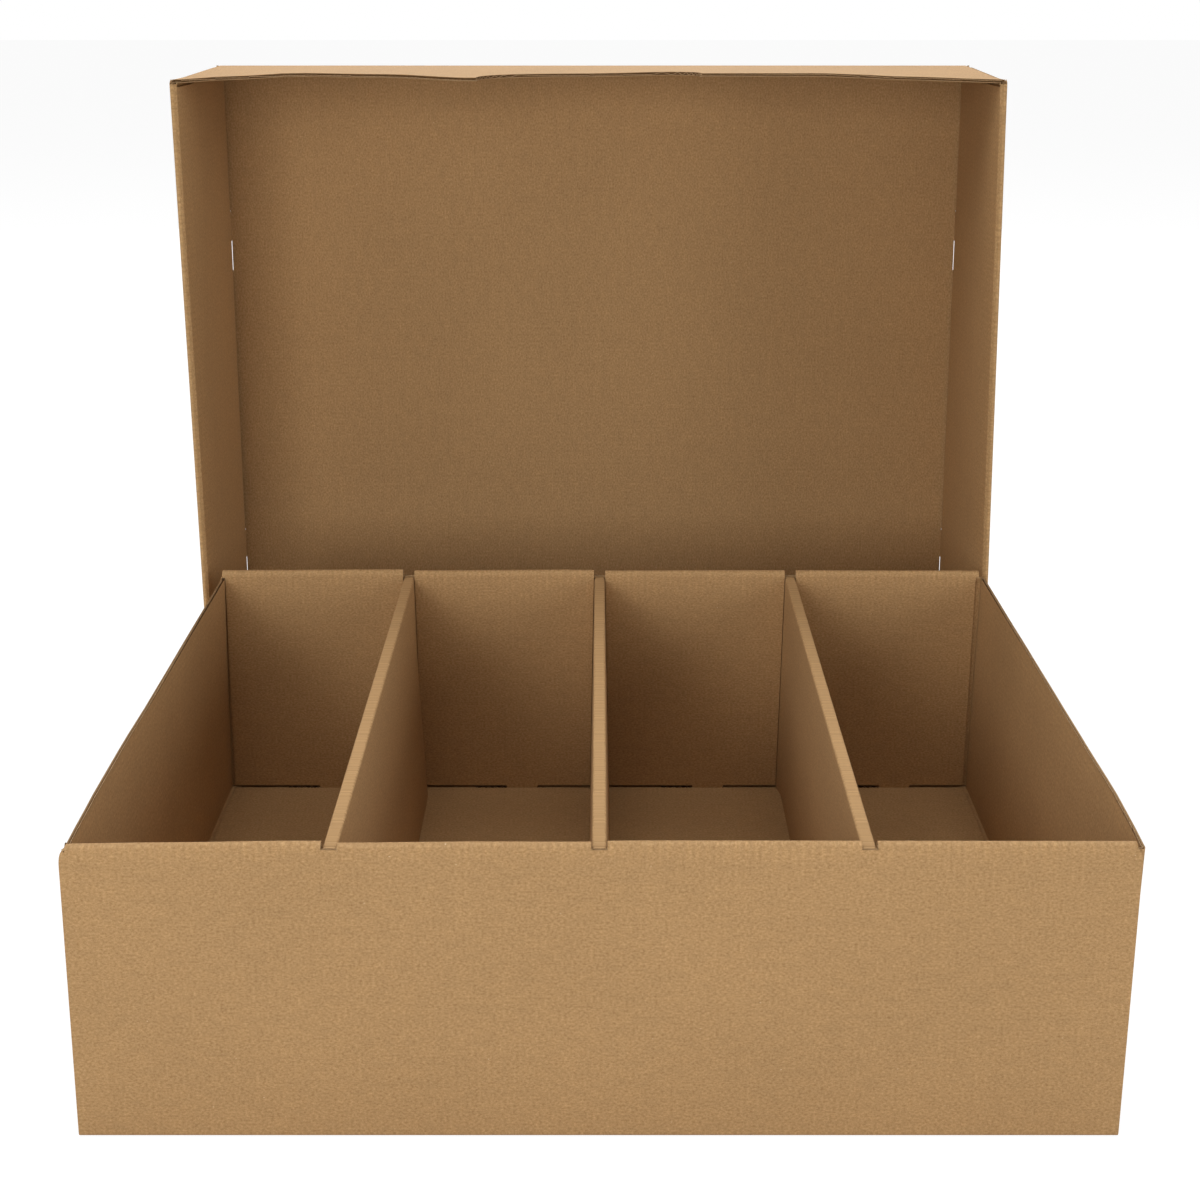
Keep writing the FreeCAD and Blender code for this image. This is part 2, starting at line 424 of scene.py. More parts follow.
# %% [markdown]
# Boards that are folded by hand don't stay flat. Where the folds hold a wall only at its ends,
# its rim wanders by a millimetre or two, and a roll is crushed a little lower in places. `wave`
# draws such a line through a few heights, and the walls follow it, less and less towards a fold.
# The tray's right end wall bulges out the most, as in the photograph. Noise would also bend the
# walls, but not where the photograph shows it.

# %% A slow wave, and what it does to the rolls and walls
BOW_RISE = 1.3


def wave(points, place):
    """Height at a place on a smooth line through (place, height) points, all in millimetres."""
    place = max(points[0][0], min(points[-1][0], place / MM))
    for (left, low), (right, high) in zip(points, points[1:]):
        if place <= right:
            share = (place - left) / (right - left)
            return (low + (high - low) * share * share * (3.0 - 2.0 * share)) * MM
    return points[-1][1] * MM


def raise_beads(width, length):
    """The beads in the floor along the single walls' folds."""
    side = width / 2.0
    bead_end = length / 2.0 - CORNER

    def on_floor(co):
        return near(co.z, 0.0) and abs(co.y) < bead_end

    for offset, height in BEAD:
        move(
            lambda co: near(abs(co.x), side - offset) and on_floor(co),
            lambda co: (0.0, 0.0, height),
        )


def crush_roll(length, depth, sign, heights, slope=0.0):
    """Crushes or lifts a roll's round top above its notches. Slope lowers its inner fold."""
    low = depth - NOTCH_DROP
    half = length / 2.0

    def on_roll(co):
        return co.y * sign > half - DOUBLE_WALL - NEAR and co.z > low + NEAR

    def shift(co):
        inside = min(1.0, max(0.0, (half - abs(co.y) - MM) / (DOUBLE_WALL - 2.0 * MM)))
        return (0.0, 0.0, (wave(heights, co.x) - slope * inside) * (co.z - low) / NOTCH_DROP)

    move(on_roll, shift)


def is_flap(co, length, depth):
    """True on the corner flaps, which keep clear of the roll above them."""
    inset = length / 2.0 - abs(co.y)
    return FLAP_FACE - NEAR < inset < CORNER + NEAR and co.z < depth - RIM_DROP + NEAR


def bow_wall(width, length, depth, sign, bulges):
    """Bows a single wall's rim outwards, by bulges along it, fading to nothing at its fold."""
    side = width / 2.0
    wall_end = length / 2.0 - CORNER

    def on_wall(co):
        if co.x * sign < side - FOLD - NEAR:
            return False
        on_face = near(abs(co.x), side) and abs(co.y) < wall_end + NEAR
        return is_flap(co, length, depth) or on_face

    def shift(co):
        return (sign * wave(bulges, co.y) * max(0.0, co.z / depth) ** BOW_RISE, 0.0, 0.0)

    move(on_wall, shift)

# %% [markdown]
# Two more bends aren't waves. A hand that closes the lid presses its double walls thinner at the
# roll. And the tray's right half is a little out of square, so it is drawn in at the floor and
# out at the rim.

# %% A pressed roll, and a side out of square
PINCH_FADE = 24.0 * MM
PINCH_START = 1.5 * MM
FLAP_PINCH = 0.8


def pinch_roll(length, depth, sign, amount):
    """Presses a double wall thinner at its roll, so its inner panel leans outwards there."""
    half = length / 2.0

    def near_roll(co):
        return co.y * sign > half - DOUBLE_WALL - NEAR and co.z > depth - PINCH_FADE

    def shift(co):
        inside = (half - abs(co.y) - PINCH_START) / (DOUBLE_WALL - PINCH_START)
        rise = min(1.0, (co.z - depth + PINCH_FADE) / (PINCH_FADE - FOLD))
        share = FLAP_PINCH if is_flap(co, length, depth) else min(1.0, max(0.0, inside))
        return (0.0, sign * amount * share * rise * rise, 0.0)

    move(near_roll, shift)


def flare(width, depth, low, high):
    """Draws the +X side in at the floor and out at the rim, from the middle of that half on."""
    start = width / 4.0

    def shift(co):
        share = (co.x - start) / (width / 2.0 - start)
        return ((low + (high - low) * co.z / depth) * share * share, 0.0, 0.0)

    move(lambda co: co.x > start, shift)

# %% [markdown]
# ## The thumb notch
#
# The real die stamps the notch in one stroke. A boolean would need a closed solid, and here the
# sheet is still open. So the notch is cut out of the flat wall with straight cuts, one beside the
# next, as many as the round corners need. Only what lies inside all the cuts so far is cut
# again, so the rest of the wall stays whole.

# %% Cutting the thumb notch
THUMB_WIDTH = 100.0 * MM
THUMB_DEPTH = 28.0 * MM
THUMB_CORNER = 24.0 * MM
THUMB_CUTS = 14


def thumb_outline(rim):
    """The notch's corners as (y, z), from one side of the rim to the other."""
    half = THUMB_WIDTH / 2.0
    low = rim - THUMB_DEPTH
    left = [(-half, rim)]
    for number in range(THUMB_CUTS + 1):
        angle = math.pi / 2.0 * number / THUMB_CUTS
        y = THUMB_CORNER - half - THUMB_CORNER * math.cos(angle)
        left.append((y, low + THUMB_CORNER - THUMB_CORNER * math.sin(angle)))
    return left + [(-y, z) for y, z in reversed(left)]


def cut_thumb_notch(width, depth):
    """Cuts the notch out of the wall at +X."""
    side = width / 2.0
    outline = thumb_outline(depth - RIM_DROP)
    planes = []

    def inside(co):
        if not near(co.x, side):
            return False
        return all((co - point).dot(normal) < 0.0 for point, normal in planes)

    for (y, z), (next_y, next_z) in zip(outline, outline[1:]):
        point = Vector((side, y, z))
        normal = Vector((0.0, next_z - z, y - next_y)).normalized()
        pick(inside, "FACE")
        cut(point, normal, everything=False)
        planes.append((point, normal))
    remove(inside)

# %% [markdown]
# ## The board's coordinates
#
# The liners' fibres run across the flutes, so every pattern has to know which way the flutes lie.
# A UV map holds that: U runs across the flutes and V along them, in metres on the flat sheet.
# The end walls' rims are cut a little off square to the flutes, so there the flute crosses slowly
# from liner to liner.

# %% Flute coordinates as a UV map
RIM_SKEW = 0.006


def flute_place(co, centre, width, length, depth):
    """(across the flutes, along them) for a point of the folded sheet, on the face at centre."""
    side = width / 2.0
    half = length / 2.0
    wall_end = half - CORNER
    on_wall = abs(centre.x) > side - ROLL_INSET and abs(centre.y) < wall_end
    if on_wall and centre.z < depth - RIM_DROP:
        return (co.z + RIM_SKEW * co.y + abs(centre.x) - abs(co.x), co.y)
    if is_flap(centre, length, depth) and centre.z > FOLD:
        return (co.z, co.x)
    over_roll = centre.z > depth - FOLD and half - abs(co.y) > FOLD
    if near(abs(centre.y), half - DOUBLE_WALL) or over_roll:
        return (co.x, math.copysign(half + 2.0 * depth - co.z, centre.y))
    if centre.z > FOLD:
        return (co.x, math.copysign(half + co.z, centre.y))
    return (co.x, co.y)


def map_flutes(sheet, place):
    """Gives a sheet its UV map from place(corner, face centre)."""
    layer = sheet.data.uv_layers.new(name="sheet")
    for face in sheet.data.polygons:
        for loop in face.loop_indices:
            corner = sheet.data.vertices[sheet.data.loops[loop].vertex_index].co
            layer.data[loop].uv = place(corner, face.center)


def map_pressed_and_highlight(sheet, top, fade):
    """An attribute: 1 at the top fold, fading below it. It marks where the fold pressed the liners
    on the flutes, and where the paper gets a partly painted highlight.
    """
    pressed_and_highlight = sheet.data.attributes.new("pressed_and_highlight", "FLOAT", "POINT")
    for vertex in sheet.data.vertices:
        pressed_and_highlight.data[vertex.index].value = min(1.0, max(0.0, 1.0 - (top - vertex.co.z) / fade))

# %% [markdown]
# ## Raw edges
#
# Where the board is cut, the flute shows between the liners. Cut along the flutes it is one thin
# line that wanders from liner to liner, and cut across them it is the wave itself. Both are the
# same rule: at each point of the edge, the flute stands at the height of its wave there. So a
# ribbon is laid along every open edge of the sheet, and shifted through the board by that wave.

# %% Points along an open edge
RIBBON = 0.22 * MM
RIBBON_START = 0.1 * MM
RIBBON_END = 0.7 * MM
RIBBON_RING = (
    (RIBBON_START, -0.5),
    (RIBBON_START, 0.5),
    (RIBBON_END, 0.5),
    (RIBBON_END, -0.5),
)
GROOVE = 0.7 * MM
SAMPLE = 0.45 * MM


def edge_samples(mesh, edge, place):
    """Points along an open edge: (point, outward normal, way into the face, flute coordinate)."""
    face = edge.link_faces[0]
    centre = face.calc_center_median()
    start, end = (vertex.co for vertex in edge.verts)
    first = place(start, centre)[0]
    last = place(end, centre)[0]
    inward = face.normal.cross(end - start).normalized()
    if inward.dot(centre - start) < 0.0:
        inward = -inward
    count = max(1, math.ceil(abs(last - first) / SAMPLE))
    rows = []
    for number in range(count + 1):
        share = number / count
        normal = edge.verts[0].normal.lerp(edge.verts[1].normal, share).normalized()
        if count > 1:
            normal = face.normal
        rows.append((start.lerp(end, share), normal, inward, first + (last - first) * share))
    return rows

# %% The flute ribbon along the open edges
def flute_ribbons(sheet, place):
    """A mesh object of the flute's cut edge along every open edge of the sheet."""
    mesh = bmesh.new()
    mesh.from_mesh(sheet.data)
    mesh.normal_update()
    ribbon = bmesh.new()
    swing = (BOARD - 2.0 * LINER - RIBBON) / 2.0
    for edge in mesh.edges:
        if len(edge.link_faces) != 1:
            continue
        rings = []
        for point, normal, inward, across in edge_samples(mesh, edge, place):
            middle = BOARD / 2.0 + swing * math.sin(2.0 * math.pi * across / PITCH)
            ring = []
            for depth, offset in RIBBON_RING:
                through = normal * (middle + offset * RIBBON)
                ring.append(ribbon.verts.new(point - through + inward * depth))
            rings.append(ring)
        for ring, following in zip(rings, rings[1:]):
            for corner in range(4):
                after = (corner + 1) % 4
                ribbon.faces.new((ring[corner], ring[after], following[after], following[corner]))
        ribbon.faces.new(rings[0])
        ribbon.faces.new(list(reversed(rings[-1])))
    bmesh.ops.recalc_face_normals(ribbon, faces=ribbon.faces)
    data = bpy.data.meshes.new(sheet.name + "_flute")
    ribbon.to_mesh(data)
    mesh.free()
    ribbon.free()
    piece = bpy.data.objects.new(sheet.name + "_flute", data)
    bpy.context.collection.objects.link(piece)
    return piece

# %% [markdown]
# `thicken` turns the liner into board. Solidify gives it its thickness inwards and marks the cut
# edges with the second material. The cut faces are then inset by one liner and pushed in, which
# leaves the two liners standing as lips with the ribbon between them. The groove's floor gets the
# last material, a dark brown that paints the shade inside the flute's hollow. A bump could only
# pretend to this groove, and it would vanish seen end-on.

# %% From liner to board
SMOOTH_ANGLE = 32.0


def thicken(sheet, place, materials):
    """Gives the sheet its thickness, open raw edges and flute, and its four materials."""
    map_flutes(sheet, place)
    flute = flute_ribbons(sheet, place)
    bpy.ops.object.select_all(action="DESELECT")
    bpy.context.view_layer.objects.active = sheet
    sheet.select_set(True)
    for material in materials:
        sheet.data.materials.append(material)
        flute.data.materials.append(material)
    for face in flute.data.polygons:
        face.material_index = 2
    board = sheet.modifiers.new("board", "SOLIDIFY")
    board.thickness = BOARD
    board.offset = -1.0
    board.use_even_offset = True
    board.material_offset_rim = 1
    if sheet.vertex_groups:
        board.vertex_group = "board"
    bpy.ops.object.modifier_apply(modifier=board.name)
    bpy.ops.object.mode_set(mode="EDIT")
    bpy.ops.mesh.select_mode(type="FACE")
    bpy.ops.mesh.select_all(action="DESELECT")
    mesh = bmesh.from_edit_mesh(sheet.data)
    for face in mesh.faces:
        face.select_set(face.material_index == 1)
    bmesh.update_edit_mesh(sheet.data)
    bpy.ops.mesh.inset(thickness=LINER, depth=-GROOVE, use_even_offset=False)
    # the groove floor gets the dark material that paints the shade in the flute's hollow
    sheet.active_material_index = 3
    bpy.ops.object.material_slot_assign()
    bpy.ops.object.mode_set(mode="OBJECT")
    flute.select_set(True)
    bpy.ops.object.join()
    bpy.ops.object.shade_smooth_by_angle(angle=math.radians(SMOOTH_ANGLE))
    return sheet

# %% [markdown]
# ## The paper
#
# The liner is unbleached kraft paper: pale brown, quite matt, made of fibres that lie mostly one
# way. Close to, it is a fine mottle of short streaks with a few dark specks of bark and a few
# pale fibres. The flutes under it show as very faint stripes 3.2 mm apart, and more clearly where
# a fold has pressed the liner down on them. At the folds the clearer stripes and a paler tone are
# partly pressed liner and partly a painted highlight. All of it is worked out from the sheet's own
# map.

# %% Colours and one helper for nodes
KRAFT = "B38E61"
KRAFT_DARK = "8E6739"
KRAFT_PALE = "D0AA7A"
BARK = "6E5033"
PALE_FIBRE = "E6D2B0"
CUT_PAPER = "C4A47A"
FLUTE_PAPER = ("9C7C54", "C0A07A")
# a dark brown that paints the shade inside the flute's hollow
FLUTE_HOLLOW_PAINTED_SHADE = ("523A20", "6A4C2C")
PAPER_SHEEN = 0.3
PAPER_ROUGHNESS = 0.86
TORN_ROUGHNESS = 0.95


def linear(text):
    """An sRGB hex colour as the linear RGBA that shaders use."""
    colour = []
    for start in (0, 2, 4):
        value = int(text[start:start + 2], 16) / 255.0
        colour.append(value / 12.92 if value <= 0.04045 else ((value + 0.055) / 1.055) ** 2.4)
    return colour + [1.0]


def add(tree, kind, inputs=None, **settings):
    """Adds a node with its settings. Inputs are values, or nodes and sockets to link from."""
    node = tree.nodes.new(kind)
    for name, value in settings.items():
        setattr(node, name, value)
    for socket, value in (inputs or {}).items():
        if isinstance(value, bpy.types.Node):
            value = value.outputs[0]
        if isinstance(value, bpy.types.NodeSocket):
            tree.links.new(value, node.inputs[socket])
        else:
            node.inputs[socket].default_value = value
    return node


def new_material(name):
    """An empty node material with its output, as (material, tree, output)."""
    material = bpy.data.materials.new(name)
    material.use_nodes = True
    material.node_tree.nodes.clear()
    output = add(material.node_tree, "ShaderNodeOutputMaterial")
    return material, material.node_tree, output

# %% [markdown]
# A speck of bark and a pale fibre are the same thing to the shader: a small grain, at most one to
# a cell of the sheet's map, and only in some of the cells. Each gets a size of its own.

# %% Specks
SPECK_STRENGTH = 0.75


def specks(tree, place, cell, radius, empty):
    """How much of a speck shows: place counts cells, and the empty share of them has none."""
    grain = add(tree, "ShaderNodeTexVoronoi", {"Vector": place, "Scale": 1.0, "Randomness": 1.0})
    chance = add(tree, "ShaderNodeSeparateColor", {0: grain.outputs["Color"]})
    limits = {"To Min": 0.4 * radius / cell, "To Max": radius / cell}
    size = add(tree, "ShaderNodeMapRange", {"Value": chance.outputs[1], **limits})
    inside = {0: grain.outputs["Distance"], 1: size}
    inside = add(tree, "ShaderNodeMath", inside, operation="LESS_THAN")
    kept = add(tree, "ShaderNodeMath", {0: chance, 1: empty}, operation="GREATER_THAN")
    both = add(tree, "ShaderNodeMath", {0: inside, 1: kept}, operation="MULTIPLY")
    return add(tree, "ShaderNodeMath", {0: both, 1: SPECK_STRENGTH}, operation="MULTIPLY")

# %% [markdown]
# The liner is a dark and a pale brown mixed by streaks of about a millimetre, which is the fibres'
# own size. Clouds of 7 mm and a drift over 90 mm keep it from looking even. The flutes are a sine
# of the map, stronger where a fold has pressed the liner on them. There the stronger stripes and a
# paler tone also paint part of the fold's highlight.

# %% The kraft liner
STREAK = (1.1 * MM, 0.8 * MM)
CLOUD = (7.0 * MM, 4.0 * MM)
DRIFT = (90.0 * MM, 60.0 * MM)
BARK_CELL = (5.0 * MM, 5.0 * MM)
BARK_SPECK = 0.16 * MM
BARK_EMPTY = 0.72
FIBRE_CELL = (9.4 * MM, 3.6 * MM)
FIBRE_SPECK = 0.12 * MM
FIBRE_EMPTY = 0.55
FLAT_STRIPES = 0.012
# at the folds the stronger stripes and the paler tone are partly pressed liner and partly a
# painted highlight
FOLD_STRIPES_AND_HIGHLIGHT = 0.05
FOLD_PALER_AND_HIGHLIGHT = 1.06


def cells_of(size):
    """How many cells of this size, in metres, fit in a metre of the sheet's map each way."""
    return (1.0 / size[0], 1.0 / size[1], 1.0)


def kraft_liner(name, seed):
    """Unbleached kraft liner: matt pale brown with streaks. The eye sees paper, not plastic."""
    material, tree, output = new_material(name)
    flat = add(tree, "ShaderNodeUVMap", uv_map="sheet")
    start = (seed, seed, 0.0)
    grain = {"Vector": flat, "Location": start, "Scale": cells_of(STREAK)}
    patch = {"Vector": flat, "Location": start, "Scale": cells_of(CLOUD)}
    region = {"Vector": flat, "Location": start, "Scale": cells_of(DRIFT)}
    grain = add(tree, "ShaderNodeMapping", grain)
    patch = add(tree, "ShaderNodeMapping", patch)
    region = add(tree, "ShaderNodeMapping", region)
    streaks = {"Vector": grain, "Scale": 1.0, "Detail": 2.0, "Roughness": 0.75}
    streaks = add(tree, "ShaderNodeTexNoise", streaks)
    clouds = {"Vector": patch, "Scale": 1.0, "Detail": 3.0, "Roughness": 0.6}
    clouds = add(tree, "ShaderNodeTexNoise", clouds)
    drift = add(tree, "ShaderNodeTexNoise", {"Vector": region, "Scale": 1.0, "Detail": 1.0})

    # two browns mixed by the streaks, a fifth of the way back to the plain one
    streak = add(tree, "ShaderNodeMapRange", {"Value": streaks, "From Min": 0.2, "From Max": 0.8})
    browns = {0: streak, 6: linear(KRAFT_DARK), 7: linear(KRAFT_PALE)}
    browns = add(tree, "ShaderNodeMix", browns, data_type="RGBA").outputs[2]
    plain = {0: 0.2, 6: browns, 7: linear(KRAFT)}
    plain = add(tree, "ShaderNodeMix", plain, data_type="RGBA").outputs[2]

    # clouds and drift, as one factor round 1
    tint = {"Value": clouds, "From Min": 0.3, "From Max": 0.7, "To Min": 0.95, "To Max": 1.05}
    wide = {"Value": drift, "From Min": 0.3, "From Max": 0.7, "To Min": 0.97, "To Max": 1.03}
    tint = add(tree, "ShaderNodeMapRange", tint)
    wide = add(tree, "ShaderNodeMapRange", wide)
    shade = add(tree, "ShaderNodeMath", {0: tint, 1: wide}, operation="MULTIPLY")

    # the flutes under the liner, patchy, and clearer and paler at the folds, partly pressed liner
    # and partly painted highlight
    across = add(tree, "ShaderNodeSeparateXYZ", {0: flat})
    turn = add(tree, "ShaderNodeMath", {0: across, 1: 2.0 * math.pi / PITCH}, operation="MULTIPLY")
    sine = add(tree, "ShaderNodeMath", {0: turn}, operation="SINE")
    patchy = {"Value": clouds, "From Min": 0.35, "From Max": 0.65, "To Min": 0.2, "To Max": 1.0}
    patchy = add(tree, "ShaderNodeMapRange", patchy)
    flute = add(tree, "ShaderNodeMath", {0: sine, 1: patchy}, operation="MULTIPLY")
    pressed_and_highlight = add(tree, "ShaderNodeAttribute", attribute_name="pressed_and_highlight").outputs["Fac"]
    depth = {"Value": pressed_and_highlight, "To Min": FLAT_STRIPES, "To Max": FOLD_STRIPES_AND_HIGHLIGHT}
    depth = add(tree, "ShaderNodeMapRange", depth)
    stripe = add(tree, "ShaderNodeMath", {0: flute, 1: depth, 2: 1.0}, operation="MULTIPLY_ADD")
    paler_and_highlight = {"Value": pressed_and_highlight, "To Min": 1.0, "To Max": FOLD_PALER_AND_HIGHLIGHT}
    paler_and_highlight = add(tree, "ShaderNodeMapRange", paler_and_highlight)
    shade = add(tree, "ShaderNodeMath", {0: shade, 1: stripe}, operation="MULTIPLY")
    shade = add(tree, "ShaderNodeMath", {0: shade, 1: paler_and_highlight}, operation="MULTIPLY")
    grey = add(tree, "ShaderNodeCombineColor", {0: shade, 1: shade, 2: shade})
    toned = {0: 1.0, 6: plain, 7: grey}
    toned = add(tree, "ShaderNodeMix", toned, data_type="RGBA", blend_type="MULTIPLY")
    toned = toned.outputs[2]

    # dark specks of bark and short pale fibres
    cells = {"Vector": flat, "Location": start, "Scale": cells_of(BARK_CELL)}
    cells = add(tree, "ShaderNodeMapping", cells)
    bark = specks(tree, cells, BARK_CELL[1], BARK_SPECK, BARK_EMPTY)
    dark = {0: bark, 6: toned, 7: linear(BARK)}
    dark = add(tree, "ShaderNodeMix", dark, data_type="RGBA").outputs[2]
    apart = (seed + 7.0, seed + 7.0, 0.0)
    cells = {"Vector": flat, "Location": apart, "Scale": cells_of(FIBRE_CELL)}
    cells = add(tree, "ShaderNodeMapping", cells)
    fibre = specks(tree, cells, FIBRE_CELL[1], FIBRE_SPECK, FIBRE_EMPTY)
    colour = {0: fibre, 6: dark, 7: linear(PALE_FIBRE)}
    colour = add(tree, "ShaderNodeMix", colour, data_type="RGBA").outputs[2]

    # streaks and flutes stand up a few hundredths of a millimetre
    height = add(tree, "ShaderNodeMath", {0: streaks, 1: 0.35}, operation="MULTIPLY")
    height = add(tree, "ShaderNodeMath", {0: flute, 1: 0.8, 2: height}, operation="MULTIPLY_ADD")
    bump = add(tree, "ShaderNodeBump", {"Height": height, "Strength": 0.35, "Distance": 0.06 * MM})
    paper = {"Base Color": colour, "Normal": bump}
    paper.update({"Roughness": PAPER_ROUGHNESS, "Specular IOR Level": PAPER_SHEEN})
    paper = add(tree, "ShaderNodeBsdfPrincipled", paper)
    tree.links.new(paper.outputs[0], output.inputs[0])
    return material

# %% [markdown]
# A raw edge has three materials in it: two papers and a painted shade. The liners' cut edge is
# torn by the die and so a little paler. The flute's own edge is a paler line, and the hollow
# beside it gets a dark brown that paints the shade inside the flute. Their fibres are finer than
# the render can show, so the noise is drawn at half a millimetre and more.

# %% Cut edges, the flute and the painted shade of the hollow beside it
EDGE_FIBRE = 0.5 * MM
FLUTE_FIBRE = 0.8 * MM


def cut_edge():
    """The die-cut edge of the liners: paler and rougher than their face, with torn fibres."""
    material, tree, output = new_material("die_cut_liner_edge")
    place = add(tree, "ShaderNodeTexCoord").outputs["Object"]
    fibres = {"Vector": place, "Scale": 1.0 / EDGE_FIBRE, "Detail": 3.0}
    fibres = add(tree, "ShaderNodeTexNoise", fibres)
    torn = add(tree, "ShaderNodeMapRange", {"Value": fibres, "From Min": 0.3, "From Max": 0.7})
    colour = {0: torn, 6: linear(KRAFT), 7: linear(CUT_PAPER)}
    colour = add(tree, "ShaderNodeMix", colour, data_type="RGBA").outputs[2]
    bump = add(tree, "ShaderNodeBump", {"Height": fibres, "Strength": 0.5, "Distance": 0.1 * MM})
    paper = {"Base Color": colour, "Normal": bump}
    paper.update({"Roughness": TORN_ROUGHNESS, "Specular IOR Level": PAPER_SHEEN})
    paper = add(tree, "ShaderNodeBsdfPrincipled", paper)
    tree.links.new(paper.outputs[0], output.inputs[0])
    return material


def flute_paper_and_painted_hollow(name, colours):
    """The fluting medium: thinner recycled paper, pale at its cut edge; its dark copy paints the
    shade in the flute's hollow.
    """
    material, tree, output = new_material(name)
    place = add(tree, "ShaderNodeTexCoord").outputs["Object"]
    fibres = {"Vector": place, "Scale": 1.0 / FLUTE_FIBRE, "Detail": 2.0}
    fibres = add(tree, "ShaderNodeTexNoise", fibres)
    worn = add(tree, "ShaderNodeMapRange", {"Value": fibres, "From Min": 0.3, "From Max": 0.7})
    colour = {0: worn, 6: linear(colours[0]), 7: linear(colours[1])}
    colour = add(tree, "ShaderNodeMix", colour, data_type="RGBA").outputs[2]
    paper = {"Base Color": colour, "Roughness": TORN_ROUGHNESS, "Specular IOR Level": PAPER_SHEEN}
    paper = add(tree, "ShaderNodeBsdfPrincipled", paper)
    tree.links.new(paper.outputs[0], output.inputs[0])
    return material

# %% The papers of each kind of sheet
raw_edge = [
    cut_edge(),
    flute_paper_and_painted_hollow("fluting_medium_cut_edge", FLUTE_PAPER),
    # the last material is painted shade for the hollow between the liners
    flute_paper_and_painted_hollow("painted_shade_in_the_flute_hollow", FLUTE_HOLLOW_PAINTED_SHADE),
]
tray_paper = [kraft_liner("kraft_liner_tray", 0.0)] + raw_edge
lid_paper = [kraft_liner("kraft_liner_lid", 31.0)] + raw_edge
divider_paper = [kraft_liner("kraft_liner_divider", 57.0)] + raw_edge
print("papers:", [material.name for material in bpy.data.materials])

# %% [markdown]
# ## Tray and lid
#
# Both come from the same folds. The tray's front roll is a little crushed at its left end, and the
# lid's long wall bows up on each side of its thumb notch. The lid is folded lying down, then stood
# on its lower long wall behind the tray.

# %% The tray's rolls and walls, as (place, height or bulge) in millimetres
FRONT_ROLL = (
    (-180, -1.6), (-150, -1.0), (-94, -0.2), (-88, -1.1),
    (-40, -0.6), (-4, -0.7), (5, -0.2), (180, -0.4),
)
BACK_ROLL = ((-180, 0.9), (-92, 1.3), (-86, 0.8), (-6, 1.2), (2, 0.7), (60, 0.9), (180, 0.7))
LEFT_WALL_BOW = (
    (-161, -1.5), (-138, -1.05), (-110, -0.6), (-64, -0.5),
    (-13, -1.05), (45, -1.2), (161, -1.6),
)
RIGHT_WALL_BOW = (
    (-161, 1.2), (-151, 1.7), (-110, 2.4), (-64, 2.0),
    (-13, 1.75), (45, 1.5), (110, 1.1), (161, 0.9),
)
FLARE_LOW = -0.6 * MM
FLARE_HIGH = 1.0 * MM
WALL_PRESSED_AND_HIGHLIGHT = 6.0 * MM

# %% Fold the tray
def finish_piece(piece, node):
    """Hands a finished piece to the frame in place of its node."""
    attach(piece, "root")
    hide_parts(node)
    triangles = sum(len(face.vertices) - 2 for face in piece.data.polygons)
    print(piece.name, "has", triangles, "triangles")


def fold_tray():
    """The tray, from its strip to a finished piece."""
    width, length, depth = tray_size
    tray = strip_of_sheet("folded_base_tray", width, length, depth, divider_places, 1)
    die_cut(width, length, depth, divider_places, 1)
    single_walls(width, length, depth)
    raise_beads(width, length)
    crush_roll(length, depth, -1.0, FRONT_ROLL)
    crush_roll(length, depth, 1.0, BACK_ROLL)
    bow_wall(width, length, depth, -1.0, LEFT_WALL_BOW)
    bow_wall(width, length, depth, 1.0, RIGHT_WALL_BOW)
    flare(width, depth, FLARE_LOW, FLARE_HIGH)
    bpy.ops.object.mode_set(mode="OBJECT")
    map_pressed_and_highlight(tray, depth - FOLD, WALL_PRESSED_AND_HIGHLIGHT)

    def flutes(co, centre):
        return flute_place(co, centre, width, length, depth)

    thicken(tray, flutes, tray_paper)
    finish_piece(tray, "base_tray")


fold_tray()

# %% [markdown]
# The lid has no dividers, so its inner panels are whole and hold with two tabs each. Standing on
# its side it sags a little: its rim leans to the left of the picture, and its panel stays upright.

# %% The lid's rolls and walls
UPPER_WALL_BOW = (
    (-181, 0.0), (-150, 1.1), (-102, 2.8), (-48, 2.8), (5, 1.4),
    (52, 0.8), (92, 2.4), (129, 2.9), (165, 1.2), (181, 0.0),
)
LOWER_WALL_BOW = ((-181, 0.0), (-90, -0.8), (0, -1.2), (90, -0.8), (181, 0.0))
LID_ROLL = ((-168, -0.3), (-80, 0.2), (0, -0.2), (90, 0.3), (168, -0.3))
ROLL_SLOPE = 1.2 * MM
ROLL_PINCH = 2.0 * MM
SHORT_END = 1.0 * MM
RIM_LEAN = 0.0125
LEAN_START = 200.0 * MM

